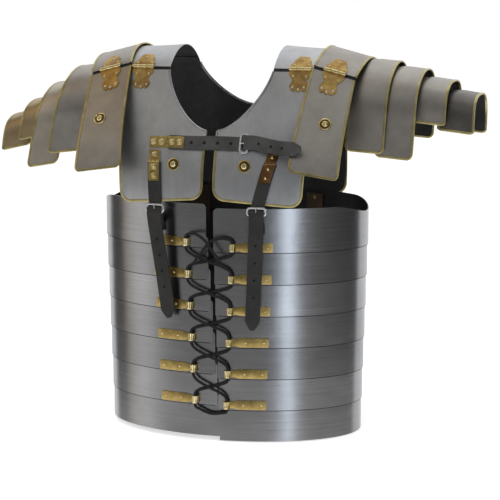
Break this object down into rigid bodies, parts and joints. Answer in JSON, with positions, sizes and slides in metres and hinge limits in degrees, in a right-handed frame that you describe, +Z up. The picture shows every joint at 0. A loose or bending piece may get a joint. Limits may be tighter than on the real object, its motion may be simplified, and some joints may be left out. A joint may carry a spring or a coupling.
{
  "type": "segmented plate body armour",
  "caption": "Wearable torso armour of overlapping steel hoops laced at front and back, hinged breast, back and collar plates, and jointed shoulder guards.",
  "frame": {"origin": "on the shoulder line under the collar plates, midway between the wearer's shoulders", "axes": "+Z up, -Y the wearer's front, +X the wearer's left"},
  "size_m": [0.7297, 0.3273, 0.582],
  "materials": {
    "hoop_steel": "polished sheet with fine horizontal brushing",
    "plate_steel": "satin sheet with brass edge trim, hinges and bosses",
    "guard_steel": "warm grey satin sheet with brass edge trim, hinges and bosses",
    "brass": "aged, polished on the raised parts",
    "leather": "black strap leather, soft sheen",
    "lace": "round black lace",
    "nickel": "bright plated wire"
  },
  "bodies": {
    "shoulders_and_top_hoop": {"collar_plate_left": "plate_steel", "hoop_1_left": "hoop_steel", "tie_fitting_1_left": "brass", "inner_leather_front_left": "leather", "inner_leather_back_left": "leather", "hanger_buckle_left": "nickel", "collar_plate_right": "plate_steel", "hoop_1_right": "hoop_steel", "tie_fitting_1_right": "brass", "inner_leather_front_right": "leather", "inner_leather_back_right": "leather", "hanger_buckle_right": "nickel", "lace_front": "lace", "lace_back": "lace"},
    "breast_plates": {"breast_plate_left": "plate_steel", "hanger_strap_left": "leather", "breast_plate_right": "plate_steel", "hanger_strap_right": "leather", "chest_strap": "leather"},
    "back_plates": {"back_plate_left": "plate_steel", "back_plate_right": "plate_steel"},
    "hoops_2": {"hoop_2_left": "hoop_steel", "hoop_2_right": "hoop_steel", "tie_fitting_2_left": "brass", "tie_fitting_2_right": "brass"},
    "hoops_3": {"hoop_3_left": "hoop_steel", "hoop_3_right": "hoop_steel", "tie_fitting_3_left": "brass", "tie_fitting_3_right": "brass"},
    "hoops_4": {"hoop_4_left": "hoop_steel", "hoop_4_right": "hoop_steel", "tie_fitting_4_left": "brass", "tie_fitting_4_right": "brass"},
    "hoops_5": {"hoop_5_left": "hoop_steel", "hoop_5_right": "hoop_steel", "tie_fitting_5_left": "brass", "tie_fitting_5_right": "brass"},
    "hoops_6": {"hoop_6_left": "hoop_steel", "hoop_6_right": "hoop_steel", "tie_fitting_6_left": "brass", "tie_fitting_6_right": "brass"},
    "hoops_7": {"hoop_7_left": "hoop_steel", "hoop_7_right": "hoop_steel"},
    "guard_left": {"guard_top_left": "guard_steel"},
    "guard_front_left_plate": {"guard_front_left": "guard_steel"},
    "guard_back_left_plate": {"guard_back_left": "guard_steel"},
    "lame_2_left_plate": {"lame_2_left": "guard_steel"},
    "lame_3_left_plate": {"lame_3_left": "guard_steel"},
    "lame_4_left_plate": {"lame_4_left": "guard_steel"},
    "lame_5_left_plate": {"lame_5_left": "guard_steel"},
    "guard_right": {"guard_top_right": "guard_steel"},
    "guard_front_right_plate": {"guard_front_right": "guard_steel"},
    "guard_back_right_plate": {"guard_back_right": "guard_steel"},
    "lame_2_right_plate": {"lame_2_right": "guard_steel"},
    "lame_3_right_plate": {"lame_3_right": "guard_steel"},
    "lame_4_right_plate": {"lame_4_right": "guard_steel"},
    "lame_5_right_plate": {"lame_5_right": "guard_steel"},
    "chest_strap_end_leather": {"chest_strap_end": "leather"},
    "strap_tail_left_leather": {"strap_tail_left": "leather"},
    "strap_tail_right_leather": {"strap_tail_right": "leather"}
  },
  "joints": [
    {"name": "breast_hinge", "type": "hinge", "parent": "shoulders_and_top_hoop", "child": "breast_plates", "pos_m": [0, -0.07812, -0.02487], "axis": [-1, 0, 0], "range_deg": [0, 4], "deforming": ["hanger_strap_left", "hanger_strap_right"]},
    {"name": "back_hinge", "type": "hinge", "parent": "shoulders_and_top_hoop", "child": "back_plates", "pos_m": [0, 0.07412, -0.02161], "axis": [1, 0, 0], "range_deg": [0, 4]},
    {"name": "hoops_2_slide", "type": "slide", "parent": "shoulders_and_top_hoop", "child": "hoops_2", "axis": [0, 0, 1], "range_m": [0, 0.028], "deforming": ["lace_front", "lace_back", "inner_leather_front_left", "inner_leather_front_right", "inner_leather_back_left", "inner_leather_back_right"]},
    {"name": "hoops_3_slide", "type": "slide", "parent": "hoops_2", "child": "hoops_3", "axis": [0, 0, 1], "range_m": [0, 0.028]},
    {"name": "hoops_4_slide", "type": "slide", "parent": "hoops_3", "child": "hoops_4", "axis": [0, 0, 1], "range_m": [0, 0.028]},
    {"name": "hoops_5_slide", "type": "slide", "parent": "hoops_4", "child": "hoops_5", "axis": [0, 0, 1], "range_m": [0, 0.028]},
    {"name": "hoops_6_slide", "type": "slide", "parent": "hoops_5", "child": "hoops_6", "axis": [0, 0, 1], "range_m": [0, 0.028]},
    {"name": "hoops_7_slide", "type": "slide", "parent": "hoops_6", "child": "hoops_7", "axis": [0, 0, 1], "range_m": [0, 0.028]},
    {"name": "guard_left_lift", "type": "hinge", "parent": "shoulders_and_top_hoop", "child": "guard_left", "pos_m": [0.147, 0, 0.006], "axis": [0, -1, 0], "range_deg": [0, 25]},
    {"name": "guard_front_left_swing", "type": "hinge", "parent": "guard_left", "child": "guard_front_left_plate", "pos_m": [0.17292, -0.07912, -0.02755], "axis": [-0.9681, 0, 0.2504], "range_deg": [0, 30]},
    {"name": "guard_back_left_swing", "type": "hinge", "parent": "guard_left", "child": "guard_back_left_plate", "pos_m": [0.17373, 0.07512, -0.02445], "axis": [0.9681, 0, -0.2504], "range_deg": [0, 30]},
    {"name": "lame_2_left_lift", "type": "hinge", "parent": "guard_left", "child": "lame_2_left_plate", "pos_m": [0.21036, 0, -0.01261], "axis": [0, -1, 0], "range_deg": [0, 8]},
    {"name": "lame_3_left_lift", "type": "hinge", "parent": "lame_2_left_plate", "child": "lame_3_left_plate", "pos_m": [0.25265, 0, -0.0282], "axis": [0, -1, 0], "range_deg": [0, 8]},
    {"name": "lame_4_left_lift", "type": "hinge", "parent": "lame_3_left_plate", "child": "lame_4_left_plate", "pos_m": [0.29375, 0, -0.04671], "axis": [0, -1, 0], "range_deg": [0, 8]},
    {"name": "lame_5_left_lift", "type": "hinge", "parent": "lame_4_left_plate", "child": "lame_5_left_plate", "pos_m": [0.33367, 0, -0.06756], "axis": [0, -1, 0], "range_deg": [0, 8]},
    {"name": "guard_right_lift", "type": "hinge", "parent": "shoulders_and_top_hoop", "child": "guard_right", "pos_m": [-0.147, 0, 0.006], "axis": [0, 1, 0], "range_deg": [0, 25]},
    {"name": "guard_front_right_swing", "type": "hinge", "parent": "guard_right", "child": "guard_front_right_plate", "pos_m": [-0.17292, -0.07912, -0.02755], "axis": [-0.9681, 0, -0.2504], "range_deg": [0, 30]},
    {"name": "guard_back_right_swing", "type": "hinge", "parent": "guard_right", "child": "guard_back_right_plate", "pos_m": [-0.17373, 0.07512, -0.02445], "axis": [0.9681, 0, 0.2504], "range_deg": [0, 30]},
    {"name": "lame_2_right_lift", "type": "hinge", "parent": "guard_right", "child": "lame_2_right_plate", "pos_m": [-0.2099, 0, -0.01437], "axis": [0, 1, 0], "range_deg": [0, 8]},
    {"name": "lame_3_right_lift", "type": "hinge", "parent": "lame_2_right_plate", "child": "lame_3_right_plate", "pos_m": [-0.24955, 0, -0.03596], "axis": [0, 1, 0], "range_deg": [0, 8]},
    {"name": "lame_4_right_lift", "type": "hinge", "parent": "lame_3_right_plate", "child": "lame_4_right_plate", "pos_m": [-0.28623, 0, -0.06218], "axis": [0, 1, 0], "range_deg": [0, 8]},
    {"name": "lame_5_right_lift", "type": "hinge", "parent": "lame_4_right_plate", "child": "lame_5_right_plate", "pos_m": [-0.32095, 0, -0.09088], "axis": [0, 1, 0], "range_deg": [0, 8]},
    {"name": "chest_strap_end_swing", "type": "hinge", "parent": "breast_plates", "child": "chest_strap_end_leather", "pos_m": [0.0505, -0.136, -0.132], "axis": [0, 0, -1], "range_deg": [0, 42]},
    {"name": "strap_tail_left_swing", "type": "hinge", "parent": "shoulders_and_top_hoop", "child": "strap_tail_left_leather", "pos_m": [0.074, -0.147, -0.227], "axis": [-1, 0, 0], "range_deg": [0, 60]},
    {"name": "strap_tail_right_swing", "type": "hinge", "parent": "shoulders_and_top_hoop", "child": "strap_tail_right_leather", "pos_m": [-0.08, -0.147, -0.227], "axis": [-1, 0, 0], "range_deg": [0, 60]}
  ],
  "couplings": [
    {"joint": "hoops_3_slide", "follows": "hoops_2_slide", "ratio": 1},
    {"joint": "hoops_4_slide", "follows": "hoops_2_slide", "ratio": 1},
    {"joint": "hoops_5_slide", "follows": "hoops_2_slide", "ratio": 1},
    {"joint": "hoops_6_slide", "follows": "hoops_2_slide", "ratio": 1},
    {"joint": "hoops_7_slide", "follows": "hoops_2_slide", "ratio": 1},
    {"joint": "lame_2_left_lift", "follows": "guard_left_lift", "ratio": 0.32},
    {"joint": "lame_3_left_lift", "follows": "guard_left_lift", "ratio": 0.32},
    {"joint": "lame_4_left_lift", "follows": "guard_left_lift", "ratio": 0.32},
    {"joint": "lame_5_left_lift", "follows": "guard_left_lift", "ratio": 0.32},
    {"joint": "lame_2_right_lift", "follows": "guard_right_lift", "ratio": 0.32},
    {"joint": "lame_3_right_lift", "follows": "guard_right_lift", "ratio": 0.32},
    {"joint": "lame_4_right_lift", "follows": "guard_right_lift", "ratio": 0.32},
    {"joint": "lame_5_right_lift", "follows": "guard_right_lift", "ratio": 0.32},
    {"joint": "chest_strap_end_swing", "follows": "guard_front_left_swing", "ratio": 1.4}
  ]
}
